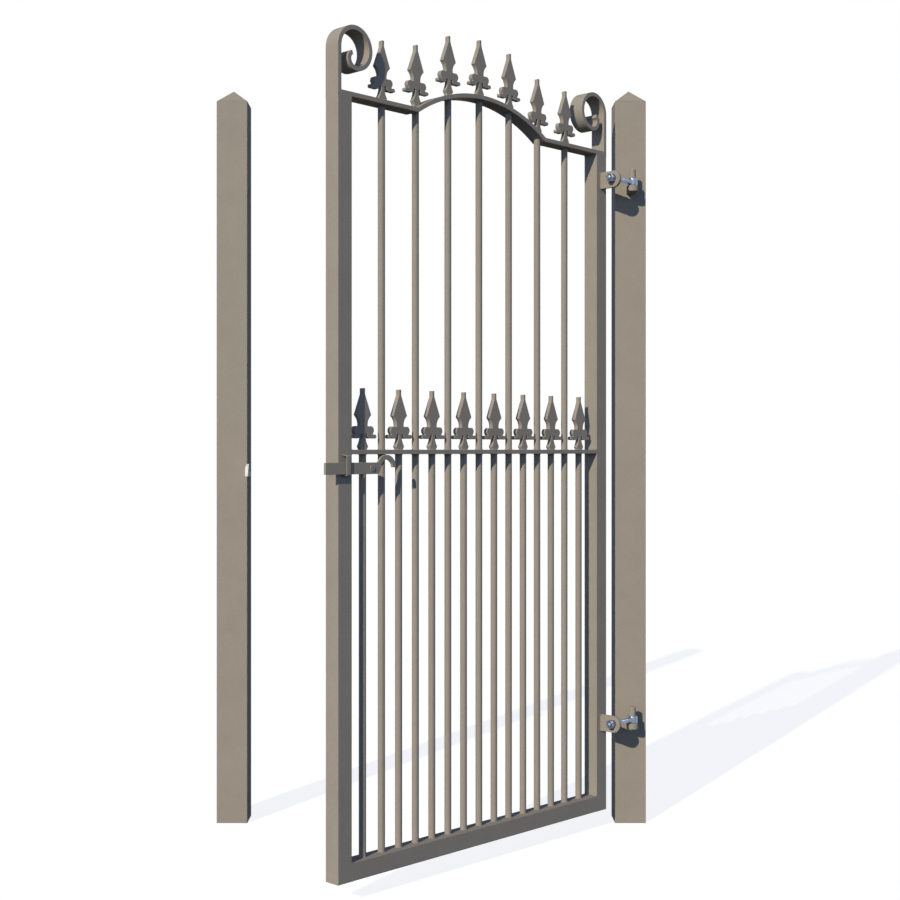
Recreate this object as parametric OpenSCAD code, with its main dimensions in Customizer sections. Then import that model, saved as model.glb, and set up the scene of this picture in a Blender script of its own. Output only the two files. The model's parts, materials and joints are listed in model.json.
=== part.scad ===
// Wrought side gate: a barred leaf with an arched top, spear finials and scrolls,
// hung on two square posts by pin hinges and held by a lifting latch.
// Millimetres, +Z up. The origin is the centre of the hinge post's foot, the posts stand in a row
// along X, and the leaf swings out towards -Y.

/* [Posts] */
// Width of each square post
post_w = 80; // [60:5:110]
// Wall of the posts' box section
post_wall = 3; // [2:0.5:6]
// Height of the posts under their caps
post_h = 1875; // [1700:5:2200]
// Rise of the pyramid caps
cap_rise = 35; // [15:1:60]
// Thickness of the caps, measured upright
cap_wall = 3; // [2:0.5:5]

/* [Leaf frame] */
// Width of the leaf over both stiles
leaf_w = 920; // [860:10:1100]
// Gap between the shut leaf and each post
side_gap = 17.5; // [15:0.5:25]
// Gap between the leaf and the ground
ground_gap = 50; // [30:5:100]
// Angle at which the leaf stands open
open_angle = 45.7; // [0:0.1:120]
// Width of the box section of the stiles and the bottom rail
frame_w = 40; // [34:1:50]
// Wall of that box section
frame_wall = 3; // [2:0.5:5]
// Thickness of the flat bar of the rails and scrolls
flat_t = 10; // [6:1:13]
// Height of the middle rail's top over the leaf's foot
mid_rail_h = 920; // [700:10:1100]
// Height of the upper rail's level ends over the leaf's foot
top_rail_h = 1682; // [1500:1:1800]
// Width of the arch between its two valleys
arch_span = 441; // [360:1:540]
// Rise of the arch over the level ends
arch_rise = 64; // [30:1:90]

/* [Bars] */
// Number of long bars
long_count = 7; // [5:1:8]
// Diameter of the round bars
bar_d = 16; // [12:1:18]
// Room round a bar in its hole in the middle rail
bar_room = 0.3; // [0.1:0.1:0.6]

/* [Scrolls] */
// Height of a scroll over the level ends of the upper rail
scroll_h = 144; // [130:1:180]
// Outer radius of the turn over the top
scroll_r1 = 50; // [48:1:56]
// Outer radius of the turn that comes down
scroll_r2 = 47; // [42:1:48]
// Outer radius of the turn inwards
scroll_r3 = 25; // [22:1:28]
// Outer radius of the last turn
scroll_r4 = 19; // [16:1:21]
// Angle of the last turn
scroll_tip_angle = 70; // [30:5:90]

/* [Finials] */
// Height of a finial
finial_h = 133; // [128:1:160]
// Thickness of a finial
finial_t = 11; // [8:1:16]
// Width where the foot meets the rail
foot_base_w = 16; // [12:1:20]
// Widest width of the foot
foot_w = 25; // [22:1:30]
// Height of that widest width
foot_h = 7; // [4:1:10]
// Width of the neck
neck_w = 9; // [6:1:12]
// Height of the neck
neck_h = 31; // [28:1:32]
// Hollow of the foot's flanks
foot_hollow = 2; // [1:0.5:3]
// Span over the tips of the petals
petal_span = 73.6; // [68:0.2:78]
// Height of the petals' underside
petal_low = 24; // [22:0.5:25]
// Radius of a petal's root
petal_root_r = 8; // [7:0.5:8.5]
// Distance of a petal's root from the middle
petal_root_x = 18; // [17:0.5:20]
// Radius of a petal's tip
petal_tip_r = 4.5; // [3.5:0.5:5.5]
// How much slimmer than their round ends the petals and lobes are on each side
leaf_slim = 0.5; // [0.3:0.1:1]
// Span over the round lobes
lobe_span = 59; // [55:0.5:62]
// Radius of the lobes
lobe_r = 9; // [8:0.5:10]
// Height of the lobes' middle
lobe_z = 42; // [41:0.5:44]
// Width of the waist over the lobes
waist_w = 22; // [18:1:26]
// Height of the waist
waist_h = 58; // [55:1:62]
// Widest width of the blade
blade_w = 43; // [38:1:48]
// Height of that widest width
blade_z = 74.6; // [70:0.2:80]
// Hollow of the blade's lower edges
blade_low_hollow = 2; // [1:0.5:3]
// Hollow of the blade's upper edges
blade_high_hollow = 3; // [1:0.5:4]
// Width of the blunt tip
tip_w = 6; // [4:0.5:8]
// Length of the blunt tip
tip_l = 13; // [8:1:16]

/* [Hinges] */
// Height of the lower hinge over the leaf's foot
low_hinge_h = 227; // [150:1:400]
// Height of the upper hinge over the leaf's foot
high_hinge_h = 1607; // [1300:1:1650]
// Distance of the pins in front of the leaf
pin_out = 40; // [34:1:50]
// Diameter of the pins
pin_d = 16; // [12:1:18]
// Rise of a pin over the middle of its eye
pin_rise = 33; // [20:1:40]
// Diameter of a hook's boss
boss_d = 30; // [28:1:36]
// Height of a hook's boss and arm
boss_h = 14; // [10:1:20]
// Width of a hook's arm
arm_w = 22; // [16:1:26]
// Outer diameter of an eye
eye_d = 26; // [25:1:32]
// Height of an eye
eye_h = 19; // [16:1:26]
// Diameter of an eye bolt
rod_d = 12; // [8:1:14]
// Length of an eye bolt past its outer nut
rod_end = 4; // [2:1:10]
// Width of the nuts across their flats
nut_w = 19; // [18:1:24]
// Thickness of the nuts
nut_t = 10; // [6:1:11]
// Thickness of a lug
lug_t = 8; // [6:1:10]
// Height of a lug
lug_h = 42; // [34:1:48]
// Drop of a lug's middle under its eye bolt
lug_drop = 2; // [0:0.5:4]
// Distance of a lug from the leaf's hinge edge
lug_inset = 17; // [14:1:18]
// Room round the pins and eye bolts
pin_room = 0.3; // [0.2:0.1:0.5]
// Gap under an eye on its boss
seat_gap = 0.3; // [0.2:0.1:0.6]

/* [Latch] */
// Height of the latch bar
latch_w = 25; // [20:1:28]
// Thickness of the latch bar
latch_t = 6; // [5:1:10]
// Distance of the latch bar under the middle rail's top
latch_drop = 27.5; // [22:0.5:32]
// Length of the nose past the leaf's edge
nose_l = 44.5; // [38:0.5:48]
// Angle by which the latch lifts
lift_angle = 9.5; // [8:0.5:10]
// Gap between the latch bar and the leaf, the post and the catch's foot
latch_gap = 5; // [5:0.5:8]
// Gap between the latch bar and its staple
staple_gap = 1.5; // [1:0.5:4]
// Gap between the latch bar and the catch's nose
catch_gap = 7; // [5:0.5:10]
// Distance of the crook's middle past the pivot
crook_reach = 44; // [42:0.5:50]
// Drop of the crook's middle under the middle rail's top
crook_drop = 38.5; // [36:0.5:40]
// Outer radius of the crook
crook_r = 27.5; // [24:0.5:30]
// Width of the crook
crook_w = 10.5; // [8:0.5:12]
// Distance of the bar's lower corner from the crook's middle
crook_foot = 23.5; // [20:0.5:26]
// Diameter of the pivot
pivot_d = 10; // [8:1:12]
// Diameter of the pivot's head and collar
pivot_head_d = 16; // [14:1:20]
// Thickness of the pivot's head
pivot_head_t = 3; // [2:1:8]
// Width of the staple
staple_w = 12; // [10:1:16]
// Thickness of the staple
staple_t = 2; // [1.5:0.5:5]
// Distance of the staple from the leaf's edge
staple_x = 12; // [6:1:18]
// Thickness of the catch
catch_t = 8; // [6:1:9]
// Height of the catch's lip over the latch bar's lower edge
catch_lip_h = 15.5; // [10:0.5:16]
// Height of the catch's foot
catch_foot_h = 11.5; // [10:0.5:18]
// Length of the catch's foot along the post
catch_foot_l = 8; // [6:1:40]

/* [Hidden] */
$fn = 64;
steel_paint = "#8f8577";
zinc_plate = "#b9bec4";

post_step = leaf_w + 2 * side_gap + post_w;
pin_x = leaf_w + side_gap + post_w / 2;
pin_y = -post_w / 2 - pin_out;

inner_w = leaf_w - 2 * frame_w;
bar_pitch = inner_w / (long_count + 1);
long_x = [for (i = [1:long_count]) frame_w + i * bar_pitch];
first_short_x = frame_w + (bar_pitch - bar_d / 2) / 2;
inner_short_x = [for (i = [1:long_count - 1]) frame_w + (i + 0.5) * bar_pitch];
short_x = concat([first_short_x], inner_short_x, [leaf_w - first_short_x]);
bar_y = frame_w / 2;

stile_h = top_rail_h - flat_t;
mid_x = leaf_w / 2;
arch_r = (pow(arch_span / 2, 2) + pow(arch_rise, 2)) / (2 * arch_rise);
arch_z = top_rail_h + arch_rise - arch_r;

scroll_z = top_rail_h + scroll_h - scroll_r1;
petal_tip_x = petal_span / 2 - petal_tip_r;
lobe_x = lobe_span / 2 - lobe_r;
petal_root_z = petal_low + petal_root_r;
petal_tip_z = petal_low + petal_tip_r;

lug_x = leaf_w - lug_inset - lug_t;
rod_tip_x = lug_x - nut_t - rod_end;
boss_top = -eye_h / 2 - seat_gap;

pivot_x = first_short_x;
latch_low = mid_rail_h - latch_drop - latch_w;
pivot_z = latch_low + latch_w / 2;
latch_back = -latch_gap;
latch_front = latch_back - latch_t;
crook_x = pivot_x + crook_reach;
crook_z = mid_rail_h - crook_drop;
lift_reach = pivot_x - staple_x;
staple_top = pivot_z + lift_reach * sin(lift_angle) + latch_w / 2 * cos(lift_angle) + staple_gap;
staple_low = latch_low - staple_gap;
staple_front = latch_front - staple_gap;
catch_z = ground_gap + latch_low;
catch_slot_y = -post_w / 2 + latch_front - catch_gap;

// Height of the upper rail's top at a distance x from the leaf's latch edge
function rail_top(x) = max(top_rail_h, arch_z + sqrt(max(0, pow(arch_r, 2) - pow(x - mid_x, 2))));

// Height of a finial's foot over x: the higher of the rail's heights under its two edges
function foot_top(x) = max(rail_top(x - foot_base_w / 2), rail_top(x + foot_base_w / 2));

// Radius and centre of the circle through p and q whose arc bows to the left of the way from p to q
function bow_r(p, q, sag) = (pow(norm(q - p) / 2, 2) + pow(sag, 2)) / (2 * sag);
function bow_centre(p, q, sag) =
    let (way = (q - p) / norm(q - p))
    (p + q) / 2 + (bow_r(p, q, sag) - sag) * [way[1], -way[0]];

// The points of a right half outline, followed by their mirror images back to the start
function with_mirror(points) =
    concat(points, [for (i = [len(points) - 1:-1:0]) [-points[i][0], points[i][1]]]);

// Leaf coordinates: x from the latch edge, y back from the front face, z from the leaf's foot
module on_leaf() {
    translate([0, pin_y, 0])
        rotate([0, 0, open_angle])
            translate([-pin_x, pin_out, ground_gap])
                children();
}

// Turns what stands at the latch edge round to the hinge edge
module at_hinge_edge() {
    translate([leaf_w, 0, 0])
        mirror([1, 0, 0])
            children();
}

// An outline in the leaf's plane, cut from plate that reaches from y to y + depth
module leaf_plate(y, depth) {
    translate([0, y + depth, 0])
        rotate([90, 0, 0])
            linear_extrude(depth)
                children();
}

// An outline seen along the leaf, drawn in y and z, cut from plate that reaches from x to x + depth
module side_plate(x, depth) {
    translate([x, 0, 0])
        rotate([90, 0, 90])
            linear_extrude(depth)
                children();
}

module both_sides() {
    children();
    mirror([1, 0, 0])
        children();
}

// Posts and caps
module post_tube() {
    color(steel_paint)
        linear_extrude(post_h)
            difference() {
                square(post_w, center = true);
                square(post_w - 2 * post_wall, center = true);
            }
}

module roof_prism() {
    rotate([90, 0, 0])
        linear_extrude(post_w, center = true)
            polygon([[-post_w / 2, 0], [post_w / 2, 0], [0, cap_rise]]);
}

module pyramid() {
    intersection() {
        roof_prism();
        rotate([0, 0, 90])
            roof_prism();
    }
}

module post_cap() {
    color(steel_paint)
        translate([0, 0, post_h])
            difference() {
                pyramid();
                translate([0, 0, -cap_wall])
                    pyramid();
            }
}

module at_latch_post() {
    translate([-post_step, 0, 0])
        children();
}

module hinge_post() {
    post_tube();
}

module hinge_post_cap() {
    post_cap();
}

module latch_post() {
    at_latch_post()
        post_tube();
}

module latch_post_cap() {
    at_latch_post()
        post_cap();
}

// Frame of the leaf
module stile() {
    color(steel_paint)
        difference() {
            cube([frame_w, frame_w, stile_h]);
            translate([frame_wall, frame_wall, frame_wall])
                cube([frame_w - 2 * frame_wall, frame_w - 2 * frame_wall, stile_h]);
        }
}

module latch_stile() {
    on_leaf()
        stile();
}

module hinge_stile() {
    on_leaf()
        at_hinge_edge()
            stile();
}

module bottom_rail() {
    color(steel_paint)
        on_leaf()
            side_plate(frame_w, inner_w)
                difference() {
                    square(frame_w);
                    translate([frame_wall, frame_wall])
                        square(frame_w - 2 * frame_wall);
                }
}

module mid_rail() {
    color(steel_paint)
        on_leaf()
            difference() {
                translate([frame_w, 0, mid_rail_h - flat_t])
                    cube([inner_w, frame_w, flat_t]);
                for (x = long_x)
                    translate([x, bar_y, mid_rail_h - 2 * flat_t])
                        cylinder(d = bar_d + 2 * bar_room, h = 3 * flat_t);
            }
}

// Everything under the upper rail's top, or under its underside when drop is its thickness
module under_top_rail(drop) {
    square([leaf_w, top_rail_h - drop]);
    translate([mid_x, arch_z])
        circle(arch_r - drop, $fn = 180);
}

module top_rail() {
    color(steel_paint)
        on_leaf()
            leaf_plate(0, frame_w)
                intersection() {
                    difference() {
                        under_top_rail(0);
                        under_top_rail(flat_t);
                    }
                    translate([flat_t, stile_h])
                        square([leaf_w - 2 * flat_t, leaf_w]);
                }
}

// Scrolls: flat bar that rises from the stile's outer face and curls in through four arcs
module bar_arc(x, z, r, from, turn) {
    translate([x, frame_w, z])
        rotate([90, 0, 0])
            rotate([0, 0, from])
                rotate_extrude(angle = turn)
                    translate([r - flat_t, 0])
                        square([flat_t, frame_w]);
}

module scroll() {
    down_x = 2 * scroll_r1 - scroll_r2;
    in_z = scroll_z - scroll_r2 + scroll_r3;
    tip_x = down_x - scroll_r3 + scroll_r4;
    color(steel_paint) {
        translate([0, 0, stile_h])
            cube([flat_t, frame_w, scroll_z - stile_h]);
        bar_arc(scroll_r1, scroll_z, scroll_r1, 0, 180);
        bar_arc(down_x, scroll_z, scroll_r2, -90, 90);
        bar_arc(down_x, in_z, scroll_r3, 180, 90);
        bar_arc(tip_x, in_z, scroll_r4, 180, -scroll_tip_angle);
    }
}

module latch_scroll() {
    on_leaf()
        scroll();
}

module hinge_scroll() {
    on_leaf()
        at_hinge_edge()
            scroll();
}

// Round bars
module long_bars() {
    color(steel_paint)
        on_leaf()
            for (x = long_x)
                intersection() {
                    translate([x, bar_y, frame_w])
                        cylinder(d = bar_d, h = top_rail_h + arch_rise);
                    leaf_plate(0, frame_w)
                        under_top_rail(flat_t);
                }
}

module short_bars() {
    color(steel_paint)
        on_leaf()
            for (x = short_x)
                translate([x, bar_y, frame_w])
                    cylinder(d = bar_d, h = mid_rail_h - flat_t - frame_w);
}

// Finials: a bell foot, two petals, two lobes and a blade with hollow edges
module bow_cut(p, q, sag) {
    translate(bow_centre(p, q, sag))
        circle(bow_r(p, q, sag), $fn = 96);
}

module finial_foot() {
    base = [foot_base_w / 2, 0];
    bulge = [foot_w / 2, foot_h];
    neck = [neck_w / 2, neck_h];
    difference() {
        polygon(with_mirror([base, bulge, neck, [neck[0], lobe_z]]));
        both_sides()
            bow_cut(bulge, neck, foot_hollow);
    }
}

module finial_leaves() {
    shank_t = 2 * (petal_tip_r - leaf_slim);
    lobe_t = 2 * (lobe_r - leaf_slim);
    both_sides() {
        translate([petal_root_x, petal_root_z])
            circle(petal_root_r);
        translate([petal_tip_x, petal_tip_z])
            circle(petal_tip_r);
        translate([petal_root_x, petal_low + leaf_slim])
            square([petal_tip_x - petal_root_x, shank_t]);
        translate([lobe_x, lobe_z])
            circle(lobe_r);
    }
    translate([0, lobe_z])
        square([2 * lobe_x, lobe_t], center = true);
}

module finial_blade() {
    waist = [waist_w / 2, waist_h];
    wide = [blade_w / 2, blade_z];
    tip = [tip_w / 2, finial_h - tip_l];
    difference() {
        polygon(with_mirror([[waist[0], lobe_z], waist, wide, tip, [tip[0], finial_h]]));
        both_sides() {
            bow_cut(waist, wide, blade_low_hollow);
            bow_cut(wide, tip, blade_high_hollow);
        }
    }
}

module finial_outline() {
    finial_foot();
    finial_leaves();
    finial_blade();
}

module mid_finials() {
    color(steel_paint)
        on_leaf()
            leaf_plate(bar_y - finial_t / 2, finial_t)
                for (x = short_x)
                    translate([x, mid_rail_h])
                        finial_outline();
}

// On the arch each finial's foot is lengthened and cut to the rail's top
module top_finials() {
    color(steel_paint)
        on_leaf()
            leaf_plate(bar_y - finial_t / 2, finial_t)
                for (x = long_x)
                    difference() {
                        translate([x, foot_top(x)]) {
                            finial_outline();
                            translate([-foot_base_w / 2, -foot_base_w])
                                square(foot_base_w);
                        }
                        under_top_rail(0);
                    }
}

// Hinges
module hinge_hook(z) {
    color(steel_paint)
        translate([0, pin_y, ground_gap + z]) {
            translate([0, 0, boss_top - boss_h]) {
                cylinder(d = boss_d, h = boss_h);
                translate([-arm_w / 2, 0, 0])
                    cube([arm_w, pin_out, boss_h]);
            }
            translate([0, 0, boss_top - boss_h])
                cylinder(d = pin_d, h = boss_h - boss_top + pin_rise);
        }
}

module lower_hinge_hook() {
    hinge_hook(low_hinge_h);
}

module upper_hinge_hook() {
    hinge_hook(high_hinge_h);
}

module hinge_lug(z) {
    color(steel_paint)
        on_leaf()
            translate([0, 0, z])
                side_plate(lug_x, lug_t)
                    difference() {
                        translate([-pin_out, -lug_drop]) {
                            translate([0, -lug_h / 2])
                                square([pin_out, lug_h]);
                            circle(d = lug_h);
                        }
                        translate([-pin_out, 0])
                            circle(d = rod_d + 2 * pin_room);
                    }
}

module lower_hinge_lug() {
    hinge_lug(low_hinge_h);
}

module upper_hinge_lug() {
    hinge_lug(high_hinge_h);
}

module eye_bolt(z) {
    color(zinc_plate)
        on_leaf()
            translate([0, -pin_out, z])
                difference() {
                    union() {
                        translate([pin_x, 0, -eye_h / 2])
                            cylinder(d = eye_d, h = eye_h);
                        translate([rod_tip_x, 0, 0])
                            rotate([0, 90, 0])
                                cylinder(d = rod_d, h = pin_x - rod_tip_x);
                    }
                    translate([pin_x, 0, -eye_h])
                        cylinder(d = pin_d + 2 * pin_room, h = 2 * eye_h);
                }
}

module lower_eye_bolt() {
    eye_bolt(low_hinge_h);
}

module upper_eye_bolt() {
    eye_bolt(high_hinge_h);
}

// One nut on each side of the lug
module hinge_nuts(z) {
    color(zinc_plate)
        on_leaf()
            for (x = [lug_x - nut_t, lug_x + lug_t])
                translate([x, -pin_out, z])
                    rotate([0, 90, 0])
                        difference() {
                            cylinder(d = nut_w / cos(30), h = nut_t, $fn = 6);
                            translate([0, 0, -nut_t])
                                cylinder(d = rod_d + 2 * pin_room, h = 3 * nut_t);
                        }
}

module lower_hinge_nuts() {
    hinge_nuts(low_hinge_h);
}

module upper_hinge_nuts() {
    hinge_nuts(high_hinge_h);
}

// Latch: a bar with a crook for the hand, its pivot and staple on the leaf, and the catch on the post
module latch_outline() {
    hold_r = crook_r - crook_w;
    latch_top = latch_low + latch_w;
    difference() {
        union() {
            polygon([
                [-nose_l, latch_top], [-nose_l, latch_low], [crook_x - crook_foot, latch_low],
                [crook_x - hold_r, crook_z], [crook_x - hold_r, latch_top]
            ]);
            translate([crook_x, crook_z])
                difference() {
                    circle(crook_r);
                    circle(hold_r);
                    translate([-2 * crook_r, -4 * crook_r])
                        square(4 * crook_r);
                }
        }
        translate([pivot_x, pivot_z])
            circle(d = pivot_d + 2 * pin_room);
    }
}

module latch_bar() {
    color(steel_paint)
        on_leaf()
            leaf_plate(latch_front, latch_t)
                latch_outline();
}

module latch_pivot() {
    color(steel_paint)
        on_leaf()
            difference() {
                translate([pivot_x, 0, pivot_z])
                    rotate([-90, 0, 0]) {
                        translate([0, 0, latch_front - seat_gap - pivot_head_t])
                            cylinder(d = pivot_head_d, h = pivot_head_t);
                        translate([0, 0, latch_front - seat_gap - pivot_head_t])
                            cylinder(d = pivot_d, h = bar_y - latch_front);
                        translate([0, 0, latch_back + seat_gap])
                            cylinder(d = pivot_head_d, h = bar_y - latch_back - seat_gap);
                    }
                translate([pivot_x, bar_y, 0])
                    cylinder(d = bar_d, h = mid_rail_h);
            }
}

module latch_staple() {
    color(steel_paint)
        on_leaf()
            side_plate(staple_x, staple_w)
                difference() {
                    translate([staple_front - staple_t, staple_low - staple_t])
                        square([staple_t - staple_front, staple_top - staple_low + 2 * staple_t]);
                    translate([staple_front, staple_low])
                        square([2 * staple_t - staple_front, staple_top - staple_low]);
                }
}

// A hook on the post's inner face: its round nose lifts the latch bar into the slot behind it
module latch_catch() {
    nose_r = catch_foot_h + latch_gap + catch_lip_h;
    foot_front = catch_slot_y - catch_foot_h;
    foot_back = catch_foot_l - post_w / 2;
    color(zinc_plate)
        translate([0, 0, catch_z - latch_gap - catch_foot_h])
            side_plate(-post_step + post_w / 2, catch_t) {
                translate([catch_slot_y, 0])
                    intersection() {
                        circle(nose_r);
                        translate([-2 * nose_r, 0])
                            square(2 * nose_r);
                    }
                translate([foot_front, 0])
                    square([foot_back - foot_front, catch_foot_h]);
            }
}

hinge_post();
hinge_post_cap();
latch_post();
latch_post_cap();
lower_hinge_hook();
upper_hinge_hook();
latch_catch();
latch_stile();
hinge_stile();
bottom_rail();
mid_rail();
top_rail();
latch_scroll();
hinge_scroll();
long_bars();
short_bars();
top_finials();
mid_finials();
lower_hinge_lug();
upper_hinge_lug();
lower_eye_bolt();
upper_eye_bolt();
lower_hinge_nuts();
upper_hinge_nuts();
latch_staple();
latch_pivot();
latch_bar();
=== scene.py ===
# %% [markdown]
# # A metal side gate, standing open between two posts
#
# The real gate is a welded steel leaf under one taupe powder coat: box-section stiles and
# bottom rail, two flat rails, round bars, cut spear finials and rolled scrolls. Zinc-plated
# eye bolts hang it on two pins, and a lifting latch drops behind a catch on the other post.
# The imported part gives every solid its place and size. This script makes each piece again in
# the same place with what the eye looks for up close: eased edges, threads, weld beads and
# real finishes. It starts by loading the part and hanging its solids on their bodies.

# %% Load the imported part
import json
import math

import bpy
import numpy as np
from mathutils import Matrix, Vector

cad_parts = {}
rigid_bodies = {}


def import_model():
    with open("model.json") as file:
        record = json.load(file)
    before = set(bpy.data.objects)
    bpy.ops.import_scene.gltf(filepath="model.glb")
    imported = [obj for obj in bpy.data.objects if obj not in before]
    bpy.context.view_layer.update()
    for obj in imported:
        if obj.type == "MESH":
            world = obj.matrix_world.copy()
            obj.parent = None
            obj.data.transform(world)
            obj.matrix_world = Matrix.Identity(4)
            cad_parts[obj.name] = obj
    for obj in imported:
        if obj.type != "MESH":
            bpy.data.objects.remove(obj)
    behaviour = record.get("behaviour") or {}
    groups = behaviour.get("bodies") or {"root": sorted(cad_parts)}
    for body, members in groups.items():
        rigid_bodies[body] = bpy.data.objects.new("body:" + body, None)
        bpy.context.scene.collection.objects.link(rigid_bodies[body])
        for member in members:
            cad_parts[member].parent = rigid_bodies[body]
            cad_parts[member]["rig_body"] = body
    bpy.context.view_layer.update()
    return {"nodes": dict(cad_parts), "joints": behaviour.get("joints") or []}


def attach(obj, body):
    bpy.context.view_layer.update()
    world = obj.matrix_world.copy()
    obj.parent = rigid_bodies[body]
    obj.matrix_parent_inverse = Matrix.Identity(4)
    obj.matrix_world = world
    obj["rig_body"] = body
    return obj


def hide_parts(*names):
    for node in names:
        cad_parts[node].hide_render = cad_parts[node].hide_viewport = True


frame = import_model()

MM = 0.001
X, Y, Z = 0, 1, 2

# %% [markdown]
# ## Two ways to measure
#
# The posts stand square to the part's own axes, but the leaf hangs open, turned about its
# pins. Working in leaf coordinates (x from the latch edge, y back from the front face, z up
# from the leaf's foot) keeps the leaf's pieces as simple as if it were shut. The latch turns
# about an axis square to the leaf, so that axis already says which way is back.

# %% Row and leaf coordinates
JOINTS = {joint["name"]: joint for joint in frame["joints"]}
UP = np.array([0.0, 0.0, 1.0])
BACK = np.array(JOINTS["latch_lift"]["axis"], float)
ALONG = np.cross(BACK, UP)


def vertices(node):
    """A CAD node's vertices as an array, one row for each."""
    mesh = frame["nodes"][node].data
    points = np.empty(3 * len(mesh.vertices), np.float32)
    mesh.vertices.foreach_get("co", points)
    return points.reshape(-1, 3).astype(float)


def measured(points, at):
    """Points of the row frame in the coordinates of at, an (origin, axes) pair."""
    return (points - at[0]) @ at[1].T


def placed(points, at):
    """Points in the coordinates of at, an (origin, axes) pair, back in the row frame."""
    return at[0] + points @ at[1]


def span(node, at):
    """The lowest and highest corner of a CAD node in the coordinates of at."""
    points = measured(vertices(node), at)
    return points.min(0), points.max(0)


ROW = (np.zeros(3), np.eye(3))
LEAF_AXES = np.stack([ALONG, BACK, UP])
LEAF = ((vertices("latch_stile") @ LEAF_AXES.T).min(0) @ LEAF_AXES, LEAF_AXES)
print("leaf origin:", LEAF[0].round(4))
print("leaf width in mm:", round(span("hinge_stile", LEAF)[1][X] / MM, 1))

# %% [markdown]
# ## Outlines from the solids
#
# Most of the gate is cut or rolled from plate and bar, so a piece is known by its outline and
# its depth. The outline could be written out again as points, but the solid's flat end already
# holds it: an edge that only one triangle of that end has lies on the border. Reading it there
# keeps the looks in step with the part.

# %% Read an outline
SAME_PLANE = 0.02 * MM
# Decimals of a metre: vertices within about 0.01 mm of each other are one place
PLACE_DIGITS = 5


def area(ring):
    """Twice the signed area of an outline: positive where it runs anticlockwise."""
    ahead = np.roll(ring, -1, 0)
    return (ring[:, 0] * ahead[:, 1] - ahead[:, 0] * ring[:, 1]).sum()


def outlines(node, axis, side, at):
    """The outer outlines of a CAD node's end, seen along an axis, without their holes.
    Each ring is followed by doubling: n points in order and the step that skips n points
    give the next n points."""
    mesh = frame["nodes"][node].data
    mesh.calc_loop_triangles()
    corners = np.empty(3 * len(mesh.loop_triangles), np.int32)
    mesh.loop_triangles.foreach_get("vertices", corners)
    corners = corners.reshape(-1, 3)
    points = measured(vertices(node), at)
    end = side * (side * points[:, axis]).max()
    flat = (np.abs(points[corners][:, :, axis] - end) < SAME_PLANE).all(1)
    plane = [(axis + 1) % 3, (axis + 2) % 3]
    spots, which = np.unique(points[:, plane].round(PLACE_DIGITS), axis=0, return_inverse=True)
    corners = which.reshape(-1)[corners[flat]]
    corners = corners[(np.diff(np.sort(corners, 1)) > 0).all(1)]
    edges = np.concatenate([corners[:, [0, 1]], corners[:, [1, 2]], corners[:, [2, 0]]])
    pair = np.sort(edges, 1) @ [len(spots), 1]
    _, index, count = np.unique(pair, return_inverse=True, return_counts=True)
    border = edges[count[index.reshape(-1)] == 1]
    follow = np.arange(len(spots))
    follow[border[:, 0]] = border[:, 1]
    waiting = np.zeros(len(spots), bool)
    waiting[border[:, 0]] = True
    rings = []
    while waiting.any():
        ring, skip = np.array([waiting.argmax()]), follow
        while not (ring[1:] == ring[0]).any():
            ring, skip = np.concatenate([ring, skip[ring]]), skip[skip]
        ring = ring[: 1 + np.flatnonzero(ring[1:] == ring[0])[0]]
        waiting[ring] = False
        rings.append(spots[ring][::side])
    return [ring for ring in rings if area(ring) > 0]


print("finial outlines:", [len(ring) for ring in outlines("mid_finials", Y, -1, LEAF)])

# %% [markdown]
# ## From outlines to shells
#
# No steel edge is perfectly sharp. Rolled bar leaves the mill with a radius, cut plate is
# dressed, and the coat rounds it further, so each edge catches a thin line of light. A bevel
# modifier could ease the CAD meshes, but their faces are loose triangles. Instead every piece
# here is a grid of points: a quarter-round edge profile carried along an outline, or a profile
# turned about an axis. Both have the same faces, so one function closes them all.

# %% Grid, outline and edge helpers
OUTLINE_STEP = 0.4 * MM
LONGEST_STEP, LARGEST_TURN = 6 * MM, math.radians(6)
# The bell curve's spread for a bend of radius 1, and the least square in inward
BELL_PER_RADIUS, LEAST_SQUARE = 1.13, 0.5
EDGE_STEPS = 4
# Points round a bar, and round a wider turned piece
ROUND_COUNT, WIDE_COUNT = 40, 56


def surface(grid, closed=False, edge=None):
    """A closed shell over a grid of points, rows by columns. Columns run round and meet.
    Rows run from cap to cap, or meet too where closed is true. The faces are turned round
    if the volume under them, summed over tetrahedra, comes out negative."""
    rows, cols = grid.shape[:2]
    row, col = np.arange(rows if closed else rows - 1)[:, None], np.arange(cols)[None, :]
    row_2, col_2 = (row + 1) % rows, (col + 1) % cols
    around = (row * cols + col, row * cols + col_2, row_2 * cols + col_2, row_2 * cols + col)
    quads = np.stack(np.broadcast_arrays(*around), -1).reshape(-1, 4)
    caps = [] if closed else [np.arange(cols)[::-1], np.arange(cols) + (rows - 1) * cols]
    points = grid.reshape(-1, 3)
    fans = [quads] + [
        np.stack([np.full(cols - 2, cap[0]), cap[1:-1], cap[2:], np.full(cols - 2, cap[0])], 1)
        for cap in caps
    ]
    a, b, c, d = (points[np.concatenate(fans)[:, i]] - points.mean(0) for i in range(4))
    volume = (np.cross(a, b) * c).sum() + (np.cross(a, c) * d).sum()
    if volume < 0:
        quads, caps = quads[:, ::-1], [cap[::-1] for cap in caps]
    share = np.zeros(len(points)) if edge is None else np.repeat(edge, cols)
    return points, quads, caps, share


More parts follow.
